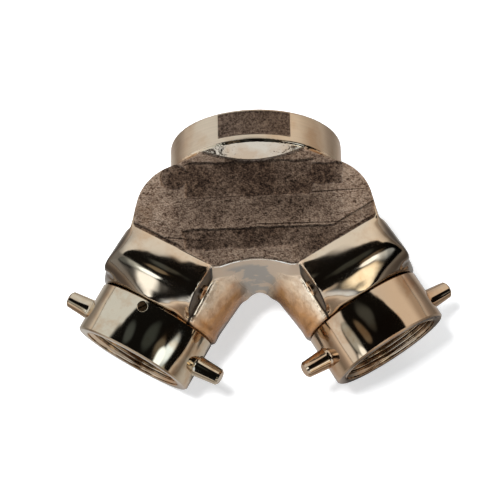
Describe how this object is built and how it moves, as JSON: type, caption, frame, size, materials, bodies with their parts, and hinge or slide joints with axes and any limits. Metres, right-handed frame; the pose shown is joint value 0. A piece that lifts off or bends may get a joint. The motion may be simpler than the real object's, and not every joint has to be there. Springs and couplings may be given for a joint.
{
  "type": "fire department connection",
  "caption": "Cast two-way wye with a round threaded outlet, two splayed arms, spinning lugged hose swivels and hinged check discs inside.",
  "frame": {"origin": "centre of the outlet's mouth", "axes": "+Y out of the outlet; +Z out of the flat plate between the arms; +X across both arms"},
  "size_m": [0.2922, 0.1893, 0.1312],
  "materials": {
    "cast_bronze": "polished casting with rough places",
    "polished_bronze": "machined and polished",
    "plain_bronze": "dull machined",
    "steel": "satin",
    "rubber": "matt"
  },
  "bodies": {
    "wye": {"body": "cast_bronze", "ball_race_left": "steel", "ball_race_right": "steel", "hinge_pin_left": "steel", "hinge_pin_right": "steel", "hinge_plugs": "plain_bronze"},
    "left_swivel": {"swivel_left": "polished_bronze", "ball_plug_left": "polished_bronze", "hose_gasket_left": "rubber"},
    "left_clapper": {"clapper_left": "plain_bronze", "clapper_facing_left": "rubber", "facing_washer_left": "plain_bronze", "facing_screw_left": "steel"},
    "right_swivel": {"swivel_right": "polished_bronze", "ball_plug_right": "polished_bronze", "hose_gasket_right": "rubber"},
    "right_clapper": {"clapper_right": "plain_bronze", "clapper_facing_right": "rubber", "facing_washer_right": "plain_bronze", "facing_screw_right": "steel"}
  },
  "joints": [
    {"name": "left_swivel_spin", "type": "hinge", "parent": "wye", "child": "left_swivel", "pos_m": [-0.07682, -0.13115, -0.01159], "axis": [-0.5121, -0.839, -0.184], "continuous": true},
    {"name": "right_swivel_spin", "type": "hinge", "parent": "wye", "child": "right_swivel", "pos_m": [0.07682, -0.13115, -0.01159], "axis": [0.5121, -0.839, -0.184], "continuous": true},
    {"name": "left_clapper_swing", "type": "hinge", "parent": "wye", "child": "left_clapper", "pos_m": [-0.06855, -0.11761, 0.03411], "axis": [0.8536, -0.521, 0], "range_deg": [0, 66]},
    {"name": "right_clapper_swing", "type": "hinge", "parent": "wye", "child": "right_clapper", "pos_m": [0.06855, -0.11761, 0.03411], "axis": [0.8536, 0.521, 0], "range_deg": [0, 66]}
  ]
}
